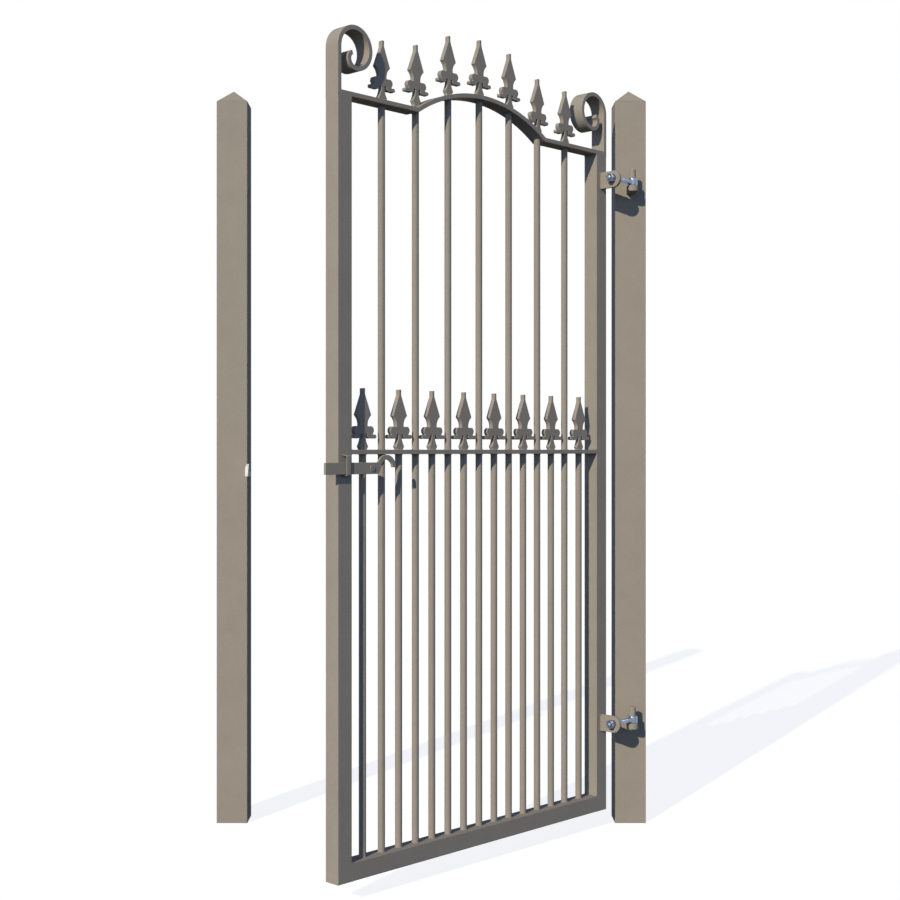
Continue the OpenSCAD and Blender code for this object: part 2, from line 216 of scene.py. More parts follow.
def rounded(ring, radius, count=None):
    """An outline stepped evenly along its length and smoothed by a bell curve, so that a square
    corner becomes a curve whose tightest bend has the radius. Unless a count is asked for, only
    the points at whole steps of length and turning together are kept."""
    round_trip = np.concatenate([ring, ring[:1]])
    gone = np.append(0, np.cumsum(np.linalg.norm(np.diff(round_trip, axis=0), axis=1)))
    steps = count or int(gone[-1] / OUTLINE_STEP)
    stops = np.arange(steps) * gone[-1] / steps
    even = np.stack([np.interp(stops, gone, round_trip[:, i]) for i in (0, 1)], 1)
    waves = np.fft.fftfreq(steps) * steps / gone[-1]
    bell = np.exp(-2 * (math.pi * BELL_PER_RADIUS * radius * waves) ** 2)
    smooth = np.fft.ifft(np.fft.fft(even, axis=0) * bell[:, None], axis=0).real
    if count:
        return smooth
    edge = np.roll(smooth, -1, 0) - smooth
    heading = np.arctan2(edge[:, 1], edge[:, 0])
    turn = np.abs((heading - np.roll(heading, 1) + math.pi) % (2 * math.pi) - math.pi)
    gone = np.cumsum(np.linalg.norm(edge, axis=1) / LONGEST_STEP + turn / LARGEST_TURN)
    return smooth[np.diff(np.floor(gone), prepend=-1) > 0]


def inward(ring):
    """For each point of an outline, the move that draws the outline in by 1: the two edges'
    inner normals added, divided by half the square of that sum's length. That square has a
    least value, so that a needle-sharp corner isn't drawn in too far."""
    edge = np.roll(ring, -1, 0) - ring
    normal = np.stack([-edge[:, 1], edge[:, 0]], 1) / np.linalg.norm(edge, axis=1)[:, None]
    both = normal + np.roll(normal, 1, 0)
    return 2 * both / np.maximum((both**2).sum(1), LEAST_SQUARE)[:, None]


def edge_profile(low, high, ease):
    """Margin and height of a quarter-round edge at both ends of a wall, and a share that is
    largest in the middle of each round. The powder coat uses that share to paint the edge paler:
    partly thin coat and partly a painted highlight."""
    t = np.linspace(0, math.pi / 2, EDGE_STEPS + 1)
    t = np.concatenate([t, t[::-1]])
    first = np.arange(len(t)) <= EDGE_STEPS
    rise = ease * (1 - np.cos(t))
    return ease * (1 - np.sin(t)), np.where(first, low + rise, high - rise), np.sin(2 * t)


def lifted(flat, height, axis):
    """Points of a plane, given height along the axis that the plane is square to."""
    grid = np.empty(flat.shape[:-1] + (3,))
    grid[..., [(axis + 1) % 3, (axis + 2) % 3]] = flat
    grid[..., axis] = height
    return grid


def plate(ring, low, high, axis, ease, at):
    """A plate: the edge profile carried round an outline that is drawn in by its margin."""
    margin, height, share = edge_profile(low, high, ease)
    flat = ring[None] + margin[:, None, None] * inward(ring)[None]
    return surface(placed(lifted(flat, height[:, None], axis), at), edge=share)


def turned(radius, height, axis, middle, at, count=ROUND_COUNT, closed=False, edge=None):
    """A turned piece: a profile of radius and height carried round an axis through middle."""
    angle = np.arange(count) * 2 * math.pi / count
    way = np.stack([np.cos(angle), np.sin(angle)], 1)
    flat = np.asarray(middle) + np.asarray(radius)[:, None, None] * way[None]
    grid = placed(lifted(flat, np.asarray(height)[:, None], axis), at)
    return surface(grid, closed, edge)


def drum(radius, low, high, ease, axis, middle, at, count=ROUND_COUNT):
    """A round bar with eased ends: the edge profile carried round an axis."""
    margin, height, share = edge_profile(low, high, ease)
    return turned(radius - margin, height, axis, middle, at, count, edge=share)


print("helpers ready; edge rounds have", EDGE_STEPS, "steps")

# %% [markdown]
# ## Finishes
#
# Three finishes cover the gate. Powder coat is dry paint baked onto the steel: satin, with a
# fine orange-peel ripple and small drifts in tone. Over each eased edge it is painted a touch
# paler, partly where the coat draws thin and partly as a painted highlight. Bright zinc plate is
# a metal skin with a faint crystal pattern, its blue partly the plate's own tint and partly a
# painted sky reflection. On the catch the zinc is painted a pale matt white, a painted highlight
# in place of its glint. A picture could be wrapped round each piece, but a pattern worked out
# from object coordinates has no seams and stays with the piece.

# %% Node and colour helpers
# A Mix node's colours go by number, because its plain values have the same names
MIX_A, MIX_B, MIX_OUT = 6, 7, 2


def linear(code):
    """An sRGB hex colour as a linear colour with full alpha."""
    values = np.array([int(code[i : i + 2], 16) for i in (1, 3, 5)]) / 255
    low, high = values / 12.92, ((values + 0.055) / 1.055) ** 2.4
    return (*np.where(values <= 0.04045, low, high).tolist(), 1.0)


def add(tree, kind, sockets=None, **settings):
    """Adds a node: settings are its properties, and sockets are values or links by name or
    number."""
    node = tree.nodes.new(kind)
    for name, value in settings.items():
        setattr(node, name, value)
    for name, value in (sockets or {}).items():
        if isinstance(value, bpy.types.NodeSocket):
            tree.links.new(value, node.inputs[name])
        else:
            node.inputs[name].default_value = value
    return node


def new_material(name):
    """An empty node material and its shader tree."""
    material = bpy.data.materials.new(name)
    material.use_nodes = True
    material.node_tree.nodes.clear()
    return material, material.node_tree


print("half grey in linear light:", round(linear("#808080")[0], 3))

# %% Powder coat
COAT_DRIFT = 70 * MM
# Real orange peel is about 1 mm across. It is drawn at 3 mm so that it shows in the render.
COAT_PEEL = 3 * MM
COAT_GRAIN = 5 * MM
PEEL_STRENGTH, PEEL_DEPTH = 0.25, 0.15 * MM
COAT_TONES, COAT_ROUGH = (0.75, 1.25), (0.76, 0.90)
# Mirrored rays meet the white backdrop everywhere, so the sheen is set far below real paint's
COAT_SHEEN = 0.01


def powder_coat(name, deep, pale, thin_coat_highlight):
    """Taupe polyester powder coat on mild steel, sprayed and baked: a satin skin whose tone
    drifts between two near colours, with a fine grain and ripple. Its eased edges are painted
    paler, partly where the coat draws thin and partly as a painted highlight."""
    material, tree = new_material(name)
    place = add(tree, "ShaderNodeTexCoord").outputs["Object"]
    drift = add(tree, "ShaderNodeTexNoise",
                {"Vector": place, "Scale": 1 / COAT_DRIFT, "Detail": 3.0, "Roughness": 0.6})
    grain = add(tree, "ShaderNodeTexNoise",
                {"Vector": place, "Scale": 1 / COAT_GRAIN, "Detail": 2.0})
    peel = add(tree, "ShaderNodeTexNoise",
               {"Vector": place, "Scale": 1 / COAT_PEEL, "Detail": 1.0})
    tone = add(tree, "ShaderNodeMath", {0: drift.outputs["Fac"], 1: grain.outputs["Fac"]},
               operation="ADD")
    share = add(tree, "ShaderNodeMapRange",
                {"Value": tone.outputs[0], "From Min": COAT_TONES[0],
                 "From Max": COAT_TONES[1]})
    colour = add(tree, "ShaderNodeMix", {"Factor": share.outputs[0], MIX_A: linear(deep),
                                         MIX_B: linear(pale)}, data_type="RGBA")
    # Eased edges are painted paler by their share: partly where the coat draws thin, partly a
    # painted highlight.
    edge = add(tree, "ShaderNodeAttribute", attribute_name="edge")
    thin_coat_highlit = add(tree, "ShaderNodeMix",
               {"Factor": edge.outputs["Fac"], MIX_A: colour.outputs[MIX_OUT],
                MIX_B: linear(thin_coat_highlight)}, data_type="RGBA")
    rough = add(tree, "ShaderNodeMapRange",
                {"Value": grain.outputs["Fac"], "To Min": COAT_ROUGH[0],
                 "To Max": COAT_ROUGH[1]})
    bump = add(tree, "ShaderNodeBump", {"Height": peel.outputs["Fac"],
                                        "Strength": PEEL_STRENGTH, "Distance": PEEL_DEPTH})
    shader = add(tree, "ShaderNodeBsdfPrincipled",
                 {"Base Color": thin_coat_highlit.outputs[MIX_OUT], "Roughness": rough.outputs[0],
                  "Specular IOR Level": COAT_SHEEN, "Normal": bump.outputs["Normal"]})
    add(tree, "ShaderNodeOutputMaterial", {"Surface": shader.outputs[0]})
    return material


# The third colour is the paler edge: partly thin coat, partly a painted highlight.
TAUPE_COAT = powder_coat("taupe_powder_coat", deep="#968e80", pale="#9c9486", thin_coat_highlight="#a8a092")
print("made", TAUPE_COAT.name)

# %% Zinc plate
# Real plated crystals are well under a millimetre. They are drawn at 2.5 mm to show at all.
ZINC_CRYSTAL = 2.5 * MM
ZINC_CLOUD = 12 * MM
CLOUD_STRENGTH, CLOUD_DEPTH = 0.2, 0.1 * MM
ZINC_SHEEN = 0.05


def zinc_plate(name, dull, bright, metal, smooth, rough):
    """Zinc on steel: small crystals differ a little in tone and in how sharply they mirror. The
    bright plate is a bluish metal, its blue partly the plate's own tint and partly a painted sky
    reflection. The matt pale version is a painted highlight that stands in for the sun's glint."""
    material, tree = new_material(name)
    place = add(tree, "ShaderNodeTexCoord").outputs["Object"]
    crystal = add(tree, "ShaderNodeTexVoronoi", {"Vector": place, "Scale": 1 / ZINC_CRYSTAL})
    cloud = add(tree, "ShaderNodeTexNoise",
                {"Vector": place, "Scale": 1 / ZINC_CLOUD, "Detail": 3.0})
    spark = add(tree, "ShaderNodeSeparateColor", {"Color": crystal.outputs["Color"]})
    tone = add(tree, "ShaderNodeMath", {0: spark.outputs[0], 1: cloud.outputs["Fac"]},
               operation="MULTIPLY")
    colour = add(tree, "ShaderNodeMix", {"Factor": tone.outputs[0], MIX_A: linear(dull),
                                         MIX_B: linear(bright)}, data_type="RGBA")
    polish = add(tree, "ShaderNodeMapRange",
                 {"Value": spark.outputs[1], "To Min": smooth, "To Max": rough})
    bump = add(tree, "ShaderNodeBump", {"Height": cloud.outputs["Fac"],
                                        "Strength": CLOUD_STRENGTH, "Distance": CLOUD_DEPTH})
    shader = add(tree, "ShaderNodeBsdfPrincipled",
                 {"Base Color": colour.outputs[MIX_OUT], "Metallic": metal,
                  "Specular IOR Level": ZINC_SHEEN, "Roughness": polish.outputs[0],
                  "Normal": bump.outputs["Normal"]})
    add(tree, "ShaderNodeOutputMaterial", {"Surface": shader.outputs[0]})
    return material


# Bolts and nuts are electroplated, so they give cool and fairly sharp glints. Their blue tint is
# partly the plate's own and partly a painted sky reflection. The catch's zinc is painted pale
# and matt, a painted highlight that stands in for its glint in the sun.
# Bluish colours: partly the plate's own tint, partly a painted sky reflection.
BOLT_ZINC = zinc_plate("bright_zinc_plate", "#73829a", "#b0bdd0",
                       metal=1.0, smooth=0.32, rough=0.44)
# Pale matt colour: a painted highlight for the catch's glint in the sun.
CATCH_ZINC = zinc_plate("catch_zinc_painted_glint", "#e2ddd0", "#f6f2e6",
                        metal=0.0, smooth=0.65, rough=0.80)
print("made", BOLT_ZINC.name, "and", CATCH_ZINC.name)


def piece(name, shells, body, material, stands_for=()):
    """One object from several closed shells. It rides on a body and stands for CAD nodes. The
    modifier weighs each normal by area, so that flat faces stay flat beside their eased edges."""
    starts = np.cumsum([0] + [len(shell[0]) for shell in shells[:-1]])
    faces = [
        face
        for (_, quads, caps, _), start in zip(shells, starts)
        for face in (quads + start).tolist() + [(cap + start).tolist() for cap in caps]
    ]
    mesh = bpy.data.meshes.new(name)
    mesh.from_pydata(np.concatenate([shell[0] for shell in shells]).tolist(), [], faces)
    mesh.shade_smooth()
    share = np.concatenate([shell[3] for shell in shells]).astype(np.float32)
    # The share goes on as the edge attribute, which the coat paints paler: partly thin coat, partly
    # a painted highlight.
    mesh.attributes.new("edge", "FLOAT", "POINT").data.foreach_set("value", share)
    mesh.materials.append(material)
    made = bpy.data.objects.new(name, mesh)
    bpy.context.scene.collection.objects.link(made)
    made.modifiers.new("area_normals", "WEIGHTED_NORMAL").keep_sharp = True
    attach(made, body)
    if stands_for:
        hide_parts(*stands_for)
    print(name, "-", len(shells), "shells,", len(faces), "faces")
    return made


# %% [markdown]
# ## Posts and caps
#
# Each post is an 80 mm square tube with a pressed pyramid cap welded on. A cube with its middle
# cut out by a boolean would do for a tube, but it has knife edges. Here the section runs up the
# outside and down the inner wall, which shows at the foot, so the tube closes on itself and its
# corners are round from the start. The cap is the post's own outline drawn in towards the
# middle as it rises.

# %% Posts
POST_CORNER, INNER_CORNER = 1.0 * MM, 0.8 * MM
POST_EASE = 0.6 * MM
POST_WALL = 3.0 * MM
TUBE_COUNT = 640


def tube(ring, low, high):
    """A square tube: up the outer wall and down the inner one, closed both ways."""
    outer = rounded(ring, POST_CORNER, TUBE_COUNT)
    inner = rounded(ring + POST_WALL * inward(ring), INNER_CORNER, TUBE_COUNT)
    margin, height, share = edge_profile(low, high, POST_EASE)
    flat = outer[None] + margin[:, None, None] * inward(outer)[None]
    flat = np.concatenate([flat, inner[None], inner[None]])
    height = np.concatenate([height, [high, low]])
    return surface(lifted(flat, height[:, None], Z), True, np.concatenate([share, [0, 0]]))


for post in ("hinge_post", "latch_post"):
    low, high = span(post, ROW)
    shell = tube(outlines(post, Z, -1, ROW)[0], low[Z], high[Z])
    piece(post + "_tube", [shell], "posts", TAUPE_COAT, [post])

# %% Pyramid caps
# Shares of the cap's half width: its blunt tip, the steps that round the tip over, and two
# places on the slope. Then the share of its height that is hollow inside.
CAP_TIP = 0.05
CAP_ROUND = (1.0, 0.93, 0.75)
CAP_SLOPE = (0.97, 0.10)
CAP_HOLLOW = 0.9
# How much paler the coat is painted at the cap's rim and tip: partly thin coat, partly a painted
# highlight.
RIM_THIN_HIGHLIGHT, TIP_THIN_HIGHLIGHT = 0.6, 0.5


def pyramid_cap(ring, low, high):
    """A folded cap: from the inner tip down to the rim, over the rim and up to a blunt tip."""
    outline = rounded(ring, POST_CORNER)
    middle = (outline.min(0) + outline.max(0)) / 2
    rim = 1 - POST_WALL / (outline[:, 0].max() - middle[0])
    tip = CAP_TIP * np.array(CAP_ROUND)
    scale = np.concatenate([[CAP_TIP, rim, 1.0], CAP_SLOPE, tip])
    blunt = 1 - tip + CAP_TIP * (1 - tip / tip[0])
    slope = 1 - np.array(CAP_SLOPE)
    rise = (high - low) * np.concatenate([[CAP_HOLLOW, 0.0, 0.0], slope, blunt])
    flat = middle + scale[:, None, None] * (outline - middle)[None]
    share = np.array([0, 0, RIM_THIN_HIGHLIGHT, 0, 0, TIP_THIN_HIGHLIGHT, TIP_THIN_HIGHLIGHT, TIP_THIN_HIGHLIGHT])
    return surface(lifted(flat, low + rise[:, None], Z), edge=share)


for post in ("hinge_post", "latch_post"):
    low, high = span(post + "_cap", ROW)
    shell = pyramid_cap(outlines(post, Z, -1, ROW)[0], low[Z], high[Z])
    piece(post + "_pyramid", [shell], "posts", TAUPE_COAT, [post + "_cap"])

# %% [markdown]
# ## The leaf's frame, rails and scrolls
#
# Stiles and bottom rail are 40 mm box section, and the rails and scrolls are flat bar on edge. A
# scroll could be a curve object with a bevel, but then its curl would be drawn twice, here and
# in the part. Instead all of them are plates in the same sense: an outline with depth. For a
# stile the outline is its square section and the depth its height. For a scroll the outline is
# the curl itself, and the depth is the width of the bar.

# %% Bars and plates of the leaf
BOX_EASE, FLAT_EASE = 0.8 * MM, 0.6 * MM
# An outline's corners are rounder than the piece's edges, so drawing it in never folds it
CORNER_PER_EASE = 1.3


def cut_piece(name, node, axis, side, ease, at, material=TAUPE_COAT, trim=None):
    """A piece rebuilt from its solid's outlines, as deep as the solid, with eased edges. Trim may
    dress each outline first."""
    low, high = span(node, at)
    rings = outlines(node, axis, side, at)
    if trim:
        rings = [trim(ring) for ring in rings]
    shells = [
        plate(rounded(ring, CORNER_PER_EASE * ease), low[axis], high[axis], axis, ease, at)
        for ring in rings
    ]
    body = frame["nodes"][node]["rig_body"]
    return piece(name, shells, body, material, [node])


cut_piece("latch_stile_box", "latch_stile", Z, -1, BOX_EASE, LEAF)
cut_piece("hinge_stile_box", "hinge_stile", Z, -1, BOX_EASE, LEAF)
cut_piece("bottom_rail_box", "bottom_rail", X, -1, BOX_EASE, LEAF)
cut_piece("mid_rail_flat", "mid_rail", Z, 1, FLAT_EASE, LEAF)
cut_piece("top_rail_flat", "top_rail", Y, -1, FLAT_EASE, LEAF)
cut_piece("latch_scroll_flat", "latch_scroll", Y, -1, FLAT_EASE, LEAF)
cut_piece("hinge_scroll_flat", "hinge_scroll", Y, -1, FLAT_EASE, LEAF)

# %% [markdown]
# ## Finials
#
# The spear heads are cut from thick plate and dressed. The solids give their blades slightly
# hollow edges. A file leaves an edge straight, so here the hollow is drawn out to the straight
# line from the blade's widest place to its blunt tip. A new outline could be typed in, but it is
# enough to push out the points that lie inside that line.

# %% Finials
# How far below its top a finial is blade and not petals, how long the tip is, and how much
# wider than the solid's the straight edges leave it on each side
BLADE_L, TIP_L, TIP_SPARE = 70 * MM, 13 * MM, 1.2 * MM
FINIAL_EASE = 0.6 * MM


def straight_blade(ring):
    """A finial's outline of (z, x) points whose half width, above the blade's widest place, is at
    least that of the straight line from there to the foot of the tip."""
    height, top = ring[:, 0], ring[:, 0].max()
    middle = (ring[:, 1].min() + ring[:, 1].max()) / 2
    half = np.abs(ring[:, 1] - middle)
    widest = np.where(height > top - BLADE_L, half, 0).argmax()
    tip = half[height.argmax()] + TIP_SPARE
    line = np.interp(height, [height[widest], top - TIP_L, top], [half[widest], tip, tip])
    half = np.where(height > height[widest], np.maximum(half, line), half)
    return np.stack([height, middle + np.sign(ring[:, 1] - middle) * half], 1)


for row in ("top", "mid"):
    finials = row + "_finials"
    cut_piece(finials + "_cut", finials, Y, -1, FINIAL_EASE, LEAF, trim=straight_blade)

# %% [markdown]
# ## Round bars
#
# The bars are drawn 16 mm rod. An array modifier could repeat one bar, but the long ones end on
# the arch, each at its own height. So every bar is an eased drum of its own, and the solids say
# where it stands: along the leaf, their vertices fall into groups with clear gaps between them.

# %% Round bars
BAR_GAP = 5 * MM
BAR_BURY = 2 * MM
BAR_EASE = 0.5 * MM


def groups(node, axis, gap, at):
    """The (low, high) corners of each solid in a node, told apart by gaps along an axis."""
    points = measured(vertices(node), at)
    points = points[points[:, axis].argsort()]
    cuts = np.flatnonzero(np.diff(points[:, axis]) > gap) + 1
    return [(group.min(0), group.max(0)) for group in np.split(points, cuts)]


BARS = {node: groups(node, X, BAR_GAP, LEAF) for node in ("long_bars", "short_bars")}
BAR_R = (BARS["long_bars"][0][1][X] - BARS["long_bars"][0][0][X]) / 2
for node, bars in BARS.items():
    shells = [
        drum(BAR_R, low[Z] - BAR_BURY, high[Z] + BAR_BURY, BAR_EASE, Z, (low + high)[:2] / 2, LEAF)
        for low, high in bars
    ]
    piece(node + "_round", shells, "leaf", TAUPE_COAT, [node])

# %% [markdown]
# ## Hinges
#
# Each hinge is a hook on the post, an eye bolt that turns on the hook's pin, and a lug on the
# leaf between two nuts, with a thin lock nut outside. The hook and lug are painted with the gate.
# The eye bolt and nuts were fitted afterwards, so they keep their bright zinc, and the bolt's
# thread shows on both sides of the lug. A bump in the material could draw that thread, but it
# would leave the rod's outline smooth, so the thread is a real helix.

# %% Hooks and lugs
# Faces of two shells in one plane would flicker, so one of them is set a hair further in
HAIR = 0.04 * MM
PIN_D, BOSS_H, ARM_W = 16 * MM, 14 * MM, 22 * MM
PIN_EASE, BOSS_EASE, LUG_EASE = 1.6 * MM, 1.2 * MM, 0.8 * MM


def rectangle(u0, u1, v0, v1):
    """An anticlockwise rectangle."""
    return np.array([[u0, v0], [u1, v0], [u1, v1], [u0, v1]])


for hinge in ("lower", "upper"):
    hook = hinge + "_hinge_hook"
    low, high = span(hook, ROW)
    boss_r = (high[X] - low[X]) / 2
    middle = np.array([low[X] + boss_r, low[Y] + boss_r])
    boss_top = low[Z] + BOSS_H
    arm = rectangle(low[Z] + HAIR, boss_top - HAIR, middle[0] - ARM_W / 2, middle[0] + ARM_W / 2)
    shells = [
        drum(boss_r, low[Z], boss_top, BOSS_EASE, Z, middle, ROW, WIDE_COUNT),
        drum(PIN_D / 2, low[Z] + BOSS_EASE, high[Z], PIN_EASE, Z, middle, ROW),
        plate(rounded(arm, CORNER_PER_EASE * LUG_EASE), middle[1], high[Y], Y, LUG_EASE, ROW),
    ]
    piece(hook + "_forged", shells, "posts", TAUPE_COAT, [hook])
    cut_piece(hinge + "_hinge_lug_plate", hinge + "_hinge_lug", X, -1, LUG_EASE, LEAF)

# %% Eye bolts
ROD_D, EYE_BORE = 12 * MM, 16.6 * MM
EYE_ROUND, EYE_POWER, EYE_STEPS = 3.0 * MM, 0.5, 24
BORE_EASE = 0.8 * MM
THREAD_PITCH, THREAD_DEPTH = 1.75 * MM, 0.95 * MM
THREAD_STEPS = 8
NECK_SWELL, NECK_FADE = 2.2 * MM, 3.5 * MM
PLAIN_L, TIP_CHAMFER = 10 * MM, 1.5 * MM
ROD_SPARE = 7 * MM


def threaded_rod(tip, neck, middle, at):
    """A rod along x whose radius falls in a triangle wave along a helix: the distance along it
    less the angle's share of one pitch. The thread fades out over two pitches, short of the
    neck, which swells."""
    along = np.arange(tip, neck, THREAD_PITCH / THREAD_STEPS)[:, None]
    angle = (np.arange(ROUND_COUNT) * 2 * math.pi / ROUND_COUNT)[None]
    wave = np.abs(2 * ((along / THREAD_PITCH - angle / (2 * math.pi)) % 1) - 1)
    fade = np.clip((neck - PLAIN_L - along) / (2 * THREAD_PITCH), 0, 1)
    swell = NECK_SWELL * np.exp(-(neck - along) / NECK_FADE)
    chamfer = np.clip(TIP_CHAMFER - (along - tip), 0, None)
    radius = ROD_D / 2 - chamfer - THREAD_DEPTH * wave * fade + swell
    flat = np.stack([middle[0] + radius * np.cos(angle), middle[1] + radius * np.sin(angle)], -1)
    return surface(placed(lifted(flat, along, X), at))


def eye(middle, low, high, outer, at):
    """The eye: a forged drum with soft rims, whose profile is half an ellipse squared up by a power
    of its sine and cosine, then its bore, turned about the pin."""
    t = np.linspace(-math.pi / 2, math.pi / 2, EYE_STEPS + 1)
    out_z = (low + high) / 2 + (high - low) / 2 * np.sign(t) * np.abs(np.sin(t)) ** EYE_POWER
    out_r = outer - EYE_ROUND * (1 - np.abs(np.cos(t)) ** EYE_POWER)
    in_margin, in_z, _ = edge_profile(low, high, BORE_EASE)
    radius = np.concatenate([out_r, EYE_BORE / 2 + in_margin[::-1]])
    height = np.concatenate([out_z, in_z[::-1]])
    return turned(radius, height, Z, middle, at, WIDE_COUNT, closed=True)


for hinge in ("lower", "upper"):
    bolt = hinge + "_eye_bolt"
    low, high = span(bolt, LEAF)
    outer = (high[Y] - low[Y]) / 2
    pin = np.array([high[X] - outer, (low[Y] + high[Y]) / 2])
    height = (low[Z] + high[Z]) / 2
    shells = [
        threaded_rod(low[X] - ROD_SPARE, pin[0] - outer + BORE_EASE, (pin[1], height), LEAF),
        eye(pin, low[Z], high[Z], outer, LEAF),
    ]
    piece(bolt + "_threaded", shells, "leaf", BOLT_ZINC, [bolt])

# %% Nuts
NUT_W, NUT_T, NUT_BORE = 19 * MM, 10 * MM, 12.4 * MM
LOCK_NUT_T = 6 * MM
NUT_FACE = 0.95
NUT_CHAMFER = np.array([0.0, 0.25, 0.5, 0.75, 1.0, 1.25]) * MM
NUT_COUNT = 72


def hex_nut(low, high, middle, at):
    """A nut along x: at each height its radius is the smaller of a hexagon's and of the cones
    that chamfer both faces at 30 degrees."""
    angle = np.arange(NUT_COUNT) * 2 * math.pi / NUT_COUNT
    hexagon = NUT_W / 2 / np.cos(angle % (math.pi / 3) - math.pi / 6)
    height = np.concatenate([low + NUT_CHAMFER, high - NUT_CHAMFER[::-1]])
    inside = np.minimum(height - low, high - height)
    cone = NUT_FACE * NUT_W / 2 + inside * math.sqrt(3)
    radius = np.minimum(hexagon[None], cone[:, None])
    bore = np.full((1, NUT_COUNT), NUT_BORE / 2)
    radius = np.concatenate([bore, radius, bore])
    height = np.concatenate([[low], height, [high]])
    flat = np.stack([middle[0] + radius * np.cos(angle), middle[1] + radius * np.sin(angle)], -1)
    return surface(placed(lifted(flat, height[:, None], X), at), closed=True)


for hinge in ("lower", "upper"):
    nuts = hinge + "_hinge_nuts"
    low, high = span(nuts, LEAF)
    middle = (low + high)[[Y, Z]] / 2
    shells = [
        hex_nut(low[X], low[X] + NUT_T, middle, LEAF),
        hex_nut(high[X] - NUT_T, high[X], middle, LEAF),
        hex_nut(low[X] - LOCK_NUT_T - HAIR, low[X] - HAIR, middle, LEAF),
    ]
    piece(nuts + "_hex", shells, "leaf", BOLT_ZINC, [nuts])

# %% [markdown]
# ## Latch
#
# A flat bar turns on a rivet at the first bar, runs through a staple on the stile and drops
# behind the catch on the post. It ends in a crook for the fingers. The bar and the catch are
# cut plate, and the rivet has a low flat head. The staple could be three boxes, but strap is
# bent round its corners, so here a section is carried along a path with two arcs.

# %% Latch bar and catch
cut_piece("latch_bar_cut", "latch_bar", Y, -1, FLAT_EASE, LEAF)
cut_piece("latch_catch_cut", "latch_catch", X, 1, FLAT_EASE, ROW, CATCH_ZINC)

# %% Rivet
RIVET_D, RIVET_HEAD_D, RIVET_HEAD_T = 10 * MM, 14 * MM, 1.6 * MM
COLLAR_D, COLLAR_EASE, HEAD_EASE = 16 * MM, 0.8 * MM, 0.4 * MM

bar_low, bar_high = span("latch_bar", LEAF)
low, high = span("latch_pivot", LEAF)
rivet, face = (low + high)[[Z, X]] / 2, bar_low[Y] - HAIR
shells = [
    drum(RIVET_HEAD_D / 2, face - RIVET_HEAD_T, face, HEAD_EASE, Y, rivet, LEAF),
    drum(RIVET_D / 2, face - RIVET_HEAD_T / 2, high[Y], BAR_EASE, Y, rivet, LEAF),
    drum(COLLAR_D / 2, bar_high[Y] + BAR_EASE, high[Y], COLLAR_EASE, Y, rivet, LEAF),
]
piece("latch_pivot_rivet", shells, "leaf", TAUPE_COAT, ["latch_pivot"])

# %% Staple
STRAP_T, STRAP_BEND = 2 * MM, 2 * MM
STRAP_EASE = 0.5 * MM
BEND_STEPS = 8


def bent_path(corners, radius):
    """A path with round bends: each inner corner, a right angle, becomes an arc that touches both
    its sides. Gives the path's points and, at each, the way to its left."""
    way = np.diff(corners, axis=0)
    way = way / np.linalg.norm(way, axis=1)[:, None]
    angle = np.linspace(0, math.pi / 2, BEND_STEPS + 1)[None, :, None]
    start = corners[1:-1] - radius * way[:-1]
    arc = start[:, None] + radius * (
        np.sin(angle) * way[:-1, None] + (1 - np.cos(angle)) * way[1:, None]
    )
    heading = np.cos(angle) * way[:-1, None] + np.sin(angle) * way[1:, None]
    points = np.concatenate([corners[:1], arc.reshape(-1, 2), corners[-1:]])
    heading = np.concatenate([way[:1], heading.reshape(-1, 2), way[-1:]])
    return points, np.stack([-heading[:, 1], heading[:, 0]], 1)


low, high = span("latch_staple", LEAF)
half = STRAP_T / 2
front, foot, top = low[Y] + half, low[Z] + half, high[Z] - half
route = np.array([[high[Y] + half, foot], [front, foot], [front, top], [high[Y] + half, top]])
path, left = bent_path(route, STRAP_BEND)
section = rounded(rectangle(low[X], high[X], -half, half), STRAP_EASE)
grid = np.empty((len(path), len(section), 3))
grid[..., X] = section[None, :, 0]
grid[..., Y:] = path[:, None] + section[None, :, 1, None] * left[:, None]
shells = [surface(placed(grid, LEAF))]
piece("latch_staple_strap", shells, "leaf", TAUPE_COAT, ["latch_staple"])

# %% [markdown]
# ## Welds
#
# The leaf is one piece because it is welded. On the frame's faces the welds were ground flush, so
# that no groove shows between a stile and a rail: a block of weld metal fills each joint, a hair
# inside the faces. In the corners a small bead is left: round each bar and finial where it meets a
# rail, along the rails' ends, and where hooks, lugs and staple sit on the steel. A bead is a
# fillet profile carried along the corner, and it swells and thins as each pool of weld set.

# %% Ground joints
JOINT_DEPTH, JOINT_EASE = 4 * MM, 0.2 * MM


def block(low, high):
    """A box of weld metal between two corners, drawn in by a hair on every side."""
    low, high = np.add(low, HAIR), np.subtract(high, HAIR)
    ring = rounded(rectangle(low[Y], high[Y], low[Z], high[Z]), CORNER_PER_EASE * JOINT_EASE)
    return plate(ring, low[X], high[X], X, JOINT_EASE, LEAF)


STILES = [span("latch_stile", LEAF), span("hinge_stile", LEAF)]
INNER_EDGES = [(STILES[0][1][X], 1), (STILES[1][0][X], -1)]
RAILS = {node: span(node, LEAF) for node in ("bottom_rail", "mid_rail")}
shells = []
for stile_low, stile_high in STILES:
    top = stile_high[Z]
    shells.append(block([stile_low[X], stile_low[Y], top - JOINT_DEPTH],
                        [stile_high[X], stile_high[Y], top + JOINT_DEPTH]))
for edge_x, _ in INNER_EDGES:
    for rail_low, rail_high in RAILS.values():
        shells.append(block([edge_x - JOINT_DEPTH, rail_low[Y], rail_low[Z]],
                            [edge_x + JOINT_DEPTH, rail_high[Y], rail_high[Z]]))
piece("leaf_ground_joints", shells, "leaf", TAUPE_COAT)

# %% Weld beads
BEAD, BEAD_PITCH, BEAD_RIPPLE = 1.4 * MM, 2.8 * MM, 0.14
BEAD_STEPS, BEAD_POWER, BEAD_ROOT = 5, 1.4, -0.2
LEAST_POOLS, POOL_POINTS = 2, 6
RING_COUNT = 96
# The least share of up or down in the way in, for a point on the top rail's upper or lower face
FACE_SHARE = 0.3
FOOT_BAND, FOOT_CORNER = 1 * MM, 1 * MM


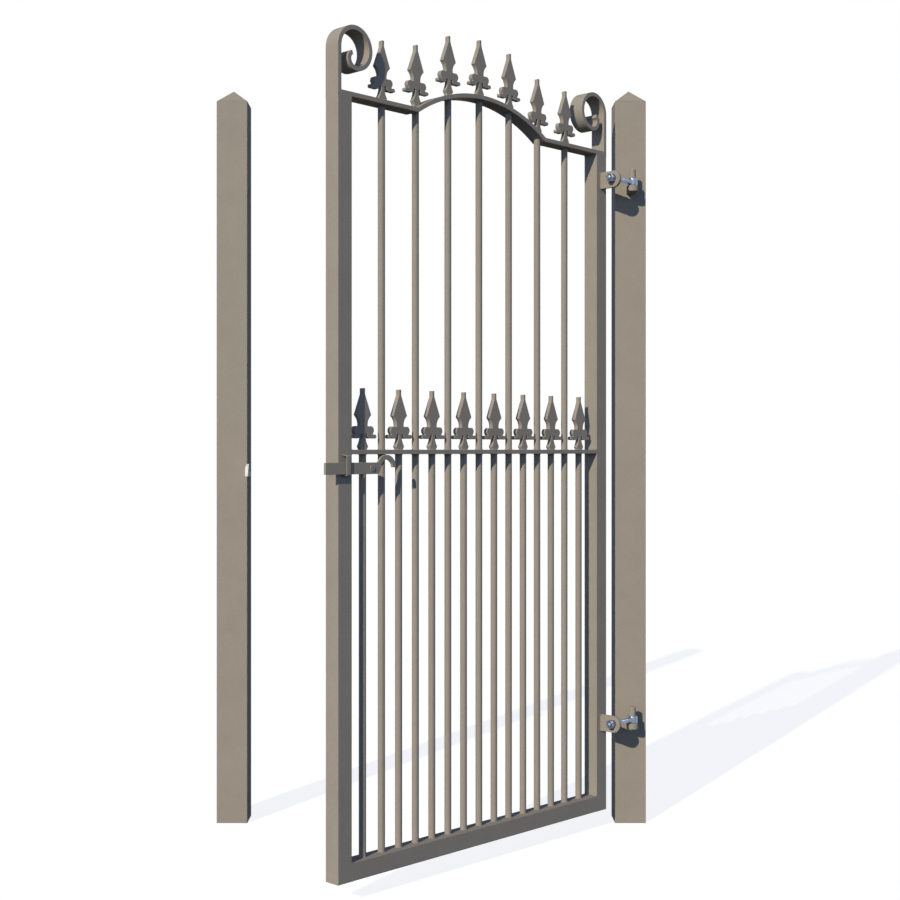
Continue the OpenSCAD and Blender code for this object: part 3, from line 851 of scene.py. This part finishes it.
def bead(path, out, up, looped, at):
    """A weld in the corner between two faces that run off along out and up: a rounded fillet
    carried along the path, swelling once every few millimetres."""
    step = np.linalg.norm(np.roll(path, -1, 0) - path, axis=1)
    gone = np.concatenate([[0], np.cumsum(step)[:-1]])
    whole = gone[-1] + (step[-1] if looped else 0)
    pools = max(LEAST_POOLS, round(whole / BEAD_PITCH))
    swell = BEAD * (1 + BEAD_RIPPLE * np.cos(2 * math.pi * pools * gone / whole))
    t = np.linspace(0, math.pi / 2, BEAD_STEPS)
    across = np.concatenate([[BEAD_ROOT], np.cos(t) ** BEAD_POWER])
    upward = np.concatenate([[BEAD_ROOT], np.sin(t) ** BEAD_POWER])
    reach = across[:, None, None] * out[None] + upward[:, None, None] * up[None]
    grid = path[None] + swell[None, :, None] * reach
    return surface(placed(grid if looped else grid.swapaxes(0, 1), at), closed=looped)


def bead_ring(ring, height, axis, side, at=LEAF):
    """A bead round an outline that stands on a face. Height gives the face over the outline's
    first coordinate, and side says which way off the face the axis points."""
    path = lifted(ring, height(ring[:, 0]), axis)
    off = np.zeros(3)
    off[axis] = side
    return bead(path, lifted(-inward(ring), 0.0, axis), np.broadcast_to(off, path.shape), True, at)


def bead_line(start, stop, out, up):
    """A straight bead from one point to another, in leaf coordinates."""
    count = 2 + int(np.linalg.norm(np.subtract(stop, start)) / (BEAD_PITCH / POOL_POINTS))
    path = np.linspace(start, stop, count)
    out, up = (np.broadcast_to(np.asarray(way, float), path.shape) for way in (out, up))
    return bead(path, out, up, False, LEAF)


def level(height):
    """The height of a flat face, whatever the place on it."""
    return lambda place: np.full(len(place), height)


def arch(rising):
    """The height of the top rail's upper or lower face over x: the points of the rail's outline
    where the way in goes down or up."""
    ring = outlines("top_rail", Y, -1, LEAF)[0]
    ring = ring[inward(ring)[:, 0] * rising < -FACE_SHARE]
    ring = ring[ring[:, 1].argsort()]
    return lambda place: np.interp(place, ring[:, 1], ring[:, 0])


RAIL_TOP, RAIL_UNDER = arch(1), arch(-1)
angle = np.arange(RING_COUNT) * 2 * math.pi / RING_COUNT
CIRCLE = np.stack([np.cos(angle), np.sin(angle)], 1)
base_top, stile_top = RAILS["bottom_rail"][1][Z], STILES[0][1][Z]
mid_low, mid_high = (end[Z] for end in RAILS["mid_rail"])
shells = []
for node, bars in BARS.items():
    upper = [(RAIL_UNDER, -1), (level(mid_high), 1)] if node == "long_bars" else []
    for low, high in bars:
        ring = (low + high)[:2] / 2 + BAR_R * CIRCLE
        for face, side in [(level(base_top), 1), (level(mid_low), -1)] + upper:
            shells.append(bead_ring(ring, face, Z, side))
piece("bar_weld_beads", shells, "leaf", TAUPE_COAT)

# %% Beads round the finials' feet
shells = []
for node, face in (("mid_finials", level(mid_high)), ("top_finials", RAIL_TOP)):
    points = measured(vertices(node), LEAF)
    foot = points[points[:, Z] - face(points[:, X]) < FOOT_BAND]
    foot = foot[foot[:, X].argsort()]
    for foot in np.split(foot, np.flatnonzero(np.diff(foot[:, X]) > 2 * BAR_R) + 1):
        low, high = foot.min(0), foot.max(0)
        ring = rounded(rectangle(low[X], high[X], low[Y], high[Y]), FOOT_CORNER, RING_COUNT)
        shells.append(bead_ring(ring, face, Z, 1))
piece("finial_weld_beads", shells, "leaf", TAUPE_COAT)

# %% Beads along rails, lugs and staple, and round the hooks' arms
shells = []
depth = np.array([RAILS["mid_rail"][0][Y] + BEAD, RAILS["mid_rail"][1][Y] - BEAD])
for edge_x, way in INNER_EDGES:
    for height, up in ((base_top, 1), (mid_low, -1), (mid_high, 1), (stile_top, -1)):
        ends = [[edge_x, y, height] for y in depth]
        shells.append(bead_line(*ends, [way, 0, 0], [0, 0, up]))
front = STILES[0][0][Y]
for hinge in ("lower", "upper"):
    low, high = span(hinge + "_hinge_lug", LEAF)
    for side_x, way in ((low[X], -1), (high[X], 1)):
        ends = [[side_x, front, z] for z in (low[Z], high[Z])]
        shells.append(bead_line(*ends, [way, 0, 0], [0, -1, 0]))
low, high = span("latch_staple", LEAF)
for height, way in ((low[Z], -1), (high[Z], 1)):
    ends = [[x, front, height] for x in (low[X], high[X])]
    shells.append(bead_line(*ends, [0, 0, way], [0, -1, 0]))
piece("leaf_weld_beads", shells, "leaf", TAUPE_COAT)

shells = []
for hinge in ("lower", "upper"):
    low, high = span(hinge + "_hinge_hook", ROW)
    arm_x = (low + high)[X] / 2
    arm = rectangle(low[Z], low[Z] + BOSS_H, arm_x - ARM_W / 2, arm_x + ARM_W / 2)
    ring = rounded(arm, LUG_EASE, RING_COUNT)
    shells.append(bead_ring(ring, level(high[Y]), Y, -1, ROW))
piece("hook_weld_beads", shells, "posts", TAUPE_COAT)

# %% [markdown]
# ## Light, floor and camera
#
# The gate is lit as in clear weather: a low sun from the front left, and a sky that is pale
# near the horizon, deep blue high up and brighter on the sun's side, so that the rails' tops
# stay darker than the sunlit faces. A level lamp behind the gate keeps its back readable. It
# makes no glints, so it hardly shows from the front. A lit studio backdrop could give the white
# ground, but it would flood the gate with light. So the sky is white only to the camera and to
# mirrors, and the floor, nearly white too, keeps a faint shadow.

# %% Sun and back fill
TO_SUN = Vector((-0.55, -1.0, 0.58))
SUN_STRENGTH, SUN_ANGLE = 3.35, math.radians(0.6)
SUN_COLOUR, FILL_COLOUR = "#fff4e4", "#fff4e6"
TO_FILL = Vector((0.0, 1.0, 0.0))
FILL_STRENGTH, FILL_ANGLE = 1.6, math.radians(8)


def sun_lamp(name, towards, strength, angle, code, glints=True):
    """A distant lamp that shines from one direction, with or without glints on the gloss."""
    lamp = bpy.data.lights.new(name, "SUN")
    lamp.energy, lamp.angle, lamp.color = strength, angle, linear(code)[:3]
    made = bpy.data.objects.new(name, lamp)
    made.rotation_euler = towards.to_track_quat("Z", "Y").to_euler()
    made.visible_glossy = glints
    bpy.context.scene.collection.objects.link(made)


sun_lamp("sun", TO_SUN, SUN_STRENGTH, SUN_ANGLE, SUN_COLOUR)
sun_lamp("back_fill", TO_FILL, FILL_STRENGTH, FILL_ANGLE, FILL_COLOUR, False)

print("sun from", tuple(round(c, 2) for c in TO_SUN.normalized()))

# %% Sky
SKY_HIGH, SKY_LOW, GROUND, WHITE = "#294478", "#b4d0f6", "#353537", "#ffffff"
SKY_STRENGTH, SUN_SIDE = 1.2, 0.25
# Heights on a globe of radius 1 between which ground turns to low sky, and low sky to high
HORIZON, CLIMB = (-0.25, 0.15), (0.12, 0.55)


def seen(tree):
    """A factor of 1 for rays from the camera, mirrors and glass, and 0 for those that light."""
    path = add(tree, "ShaderNodeLightPath")
    first = add(tree, "ShaderNodeMath", {0: path.outputs["Is Camera Ray"],
                                         1: path.outputs["Is Glossy Ray"]}, operation="MAXIMUM")
    both = add(tree, "ShaderNodeMath", {0: first.outputs[0],
                                        1: path.outputs["Is Transmission Ray"]},
               operation="MAXIMUM")
    return both.outputs[0]


world = bpy.data.worlds.new("pale_sky")
bpy.context.scene.world = world
world.use_nodes = True
tree = world.node_tree
tree.nodes.clear()
way = add(tree, "ShaderNodeTexCoord").outputs["Generated"]
height = add(tree, "ShaderNodeSeparateXYZ", {0: way}).outputs["Z"]
above = add(tree, "ShaderNodeMapRange", {"Value": height, "From Min": HORIZON[0],
                                         "From Max": HORIZON[1]})
near = add(tree, "ShaderNodeMix", {"Factor": above.outputs[0], MIX_A: linear(GROUND),
                                   MIX_B: linear(SKY_LOW)}, data_type="RGBA")
steep = add(tree, "ShaderNodeMapRange", {"Value": height, "From Min": CLIMB[0],
                                         "From Max": CLIMB[1]})
sky = add(tree, "ShaderNodeMix", {"Factor": steep.outputs[0], MIX_A: near.outputs[MIX_OUT],
                                  MIX_B: linear(SKY_HIGH)}, data_type="RGBA")
level_sun = Vector((TO_SUN.x, TO_SUN.y, 0)).normalized()
facing = add(tree, "ShaderNodeVectorMath", {0: way, 1: level_sun}, operation="DOT_PRODUCT")
haze = add(tree, "ShaderNodeMapRange", {"Value": facing.outputs["Value"], "From Min": -1.0,
                                        "To Min": SKY_STRENGTH * (1 - SUN_SIDE),
                                        "To Max": SKY_STRENGTH * (1 + SUN_SIDE)})
light = add(tree, "ShaderNodeBackground", {"Color": sky.outputs[MIX_OUT],
                                           "Strength": haze.outputs[0]})
white = add(tree, "ShaderNodeBackground", {"Color": linear(WHITE), "Strength": 1.0})
mixed = add(tree, "ShaderNodeMixShader", {0: seen(tree), 1: light.outputs[0],
                                          2: white.outputs[0]})
add(tree, "ShaderNodeOutputWorld", {"Surface": mixed.outputs[0]})
print("made", world.name, "with", len(tree.nodes), "nodes")

# %% Floor
FLOOR_SIZE = 60.0
# To the camera the floor is grey and lifted to white by a glow, so that it can take a shadow.
# To the gate it is dark ground that sends little light up.
FLOOR_SEEN, FLOOR_FELT, FLOOR_GLOW = "#8c8c8c", "#4c5058", 0.86

floor_material, tree = new_material("pale_floor")
glow = add(tree, "ShaderNodeEmission", {"Color": linear(WHITE), "Strength": FLOOR_GLOW})
matt = add(tree, "ShaderNodeBsdfDiffuse", {"Color": linear(FLOOR_SEEN)})
dark = add(tree, "ShaderNodeBsdfDiffuse", {"Color": linear(FLOOR_FELT)})
bright = add(tree, "ShaderNodeAddShader", {0: glow.outputs[0], 1: matt.outputs[0]})
mixed = add(tree, "ShaderNodeMixShader", {0: seen(tree), 1: dark.outputs[0],
                                          2: bright.outputs[0]})
add(tree, "ShaderNodeOutputMaterial", {"Surface": mixed.outputs[0]})
mesh = bpy.data.meshes.new("floor")
reach = FLOOR_SIZE / 2
corners = rectangle(-reach, reach, -reach, reach)
mesh.from_pydata(np.pad(corners, ((0, 0), (0, 1))).tolist(), [], [[0, 1, 2, 3]])
mesh.materials.append(floor_material)
floor = bpy.data.objects.new("floor", mesh)
bpy.context.scene.collection.objects.link(floor)
print("floor", FLOOR_SIZE, "m across")

# %% Camera
# Fitted to the straight edges of the leaf and the posts in the photo
IMAGE_SIDE = 900
FOCAL_PX, CENTRE_PX = 1458.0, 436.6
CAMERA_PLACE = (-0.5035, -3.8263, 0.9692)
SENSOR_W = 36.0

camera = bpy.data.cameras.new("camera")
camera.sensor_width = SENSOR_W
camera.lens = SENSOR_W * FOCAL_PX / IMAGE_SIDE
camera.shift_x = (IMAGE_SIDE / 2 - CENTRE_PX) / IMAGE_SIDE
camera_object = bpy.data.objects.new("camera", camera)
camera_object.location = CAMERA_PLACE
camera_object.rotation_euler = (math.pi / 2, 0, 0)
bpy.context.scene.collection.objects.link(camera_object)
bpy.context.scene.camera = camera_object
bpy.context.scene.view_settings.view_transform = "Standard"
print("lens", round(camera.lens, 2), "mm")
